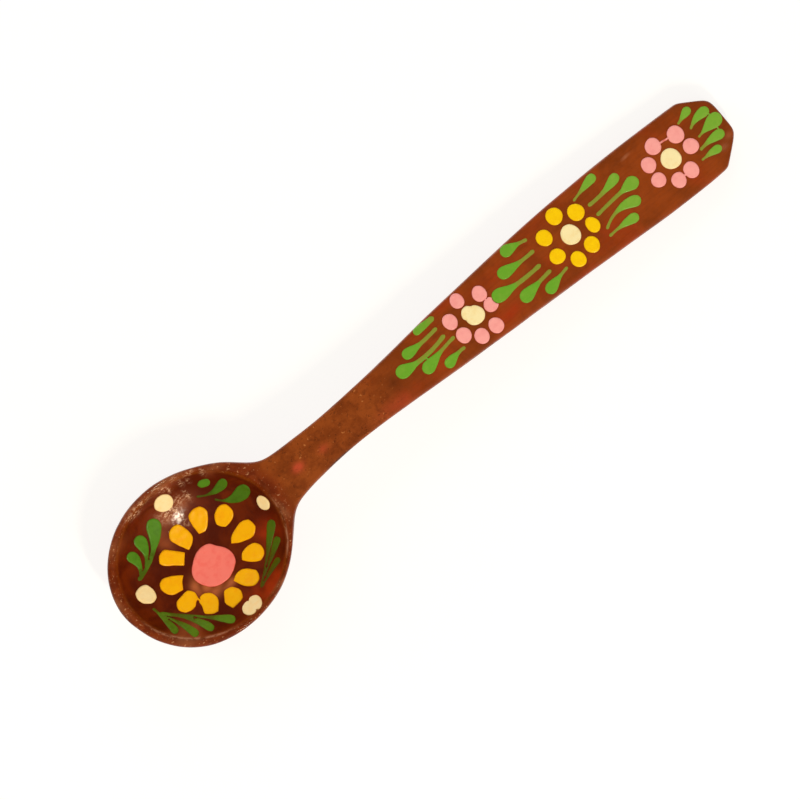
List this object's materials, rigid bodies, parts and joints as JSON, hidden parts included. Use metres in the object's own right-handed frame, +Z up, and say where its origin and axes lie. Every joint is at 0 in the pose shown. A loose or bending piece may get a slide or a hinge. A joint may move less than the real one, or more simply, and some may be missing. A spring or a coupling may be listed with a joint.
{
  "type": "carved wooden spoon",
  "caption": "Carved wooden spoon with an oval bowl and a long paddle handle, varnished red-brown and decorated with raised dabs of coloured enamel.",
  "frame": {"origin": "middle of the small flat foot under the bowl, on the plane the spoon lies on", "axes": "+X from the bowl to the handle's end, +Y to the handle's left, +Z up out of the bowl"},
  "size_m": [0.25, 0.0545, 0.0186],
  "materials": {
    "wood": "red-brown stain under clear gloss varnish, worn along the rim",
    "paint_cream": "thick cream enamel, varnished",
    "paint_pink": "thick pink enamel, varnished",
    "paint_coral": "thick coral enamel, varnished",
    "paint_yellow": "thick orange-yellow enamel, varnished",
    "paint_green": "leaf-green enamel laid on in comma strokes, varnished"
  },
  "bodies": {
    "root": {"bowl_dot_1": "paint_cream", "bowl_dot_2": "paint_cream", "bowl_dot_3": "paint_cream", "bowl_dot_4": "paint_cream", "bowl_flower_middle": "paint_coral", "bowl_neck_left_dab": "paint_green", "bowl_neck_left_leaf": "paint_green", "bowl_neck_middle_leaf": "paint_green", "bowl_neck_right_leaves": "paint_green", "bowl_petal_01": "paint_yellow", "bowl_petal_02": "paint_yellow", "bowl_petal_03": "paint_yellow", "bowl_petal_04": "paint_yellow", "bowl_petal_05": "paint_yellow", "bowl_petal_06": "paint_yellow", "bowl_petal_07": "paint_yellow", "bowl_petal_08": "paint_yellow", "bowl_petal_10": "paint_yellow", "bowl_petal_11": "paint_yellow", "bowl_tip_left_leaves": "paint_green", "bowl_tip_right_leaves": "paint_green", "end_flower_dot_1": "paint_pink", "end_flower_dot_3": "paint_pink", "end_flower_dot_4": "paint_pink", "end_flower_dot_6": "paint_pink", "end_flower_dot_7": "paint_pink", "end_flower_middle": "paint_cream", "end_spray_stroke_1": "paint_green", "end_spray_stroke_2": "paint_green", "end_spray_stroke_5": "paint_green", "far_spray_stroke_1": "paint_green", "far_spray_stroke_2": "paint_green", "far_spray_stroke_3": "paint_green", "far_spray_stroke_4": "paint_green", "far_spray_stroke_5": "paint_green", "middle_flower_dot_1": "paint_yellow", "middle_flower_dot_2": "paint_yellow", "middle_flower_dot_3": "paint_yellow", "middle_flower_dot_4": "paint_yellow", "middle_flower_dot_5": "paint_yellow", "middle_flower_dot_6": "paint_yellow", "middle_flower_dot_7": "paint_yellow", "middle_flower_middle": "paint_cream", "near_flower_dot_1": "paint_pink", "near_flower_dot_2": "paint_pink", "near_flower_dot_3": "paint_pink", "near_flower_dot_5": "paint_pink", "near_flower_dot_6": "paint_pink", "near_flower_dot_7": "paint_pink", "near_flower_middle": "paint_cream", "near_spray_stroke_1": "paint_green", "near_spray_stroke_2": "paint_green", "near_spray_stroke_3": "paint_green", "near_spray_stroke_4": "paint_green", "near_spray_stroke_5": "paint_green", "neck_spray_stroke_1": "paint_green", "neck_spray_stroke_2": "paint_green", "neck_spray_stroke_3": "paint_green", "neck_spray_stroke_5": "paint_green", "spoon_body": "wood"}
  },
  "joints": []
}
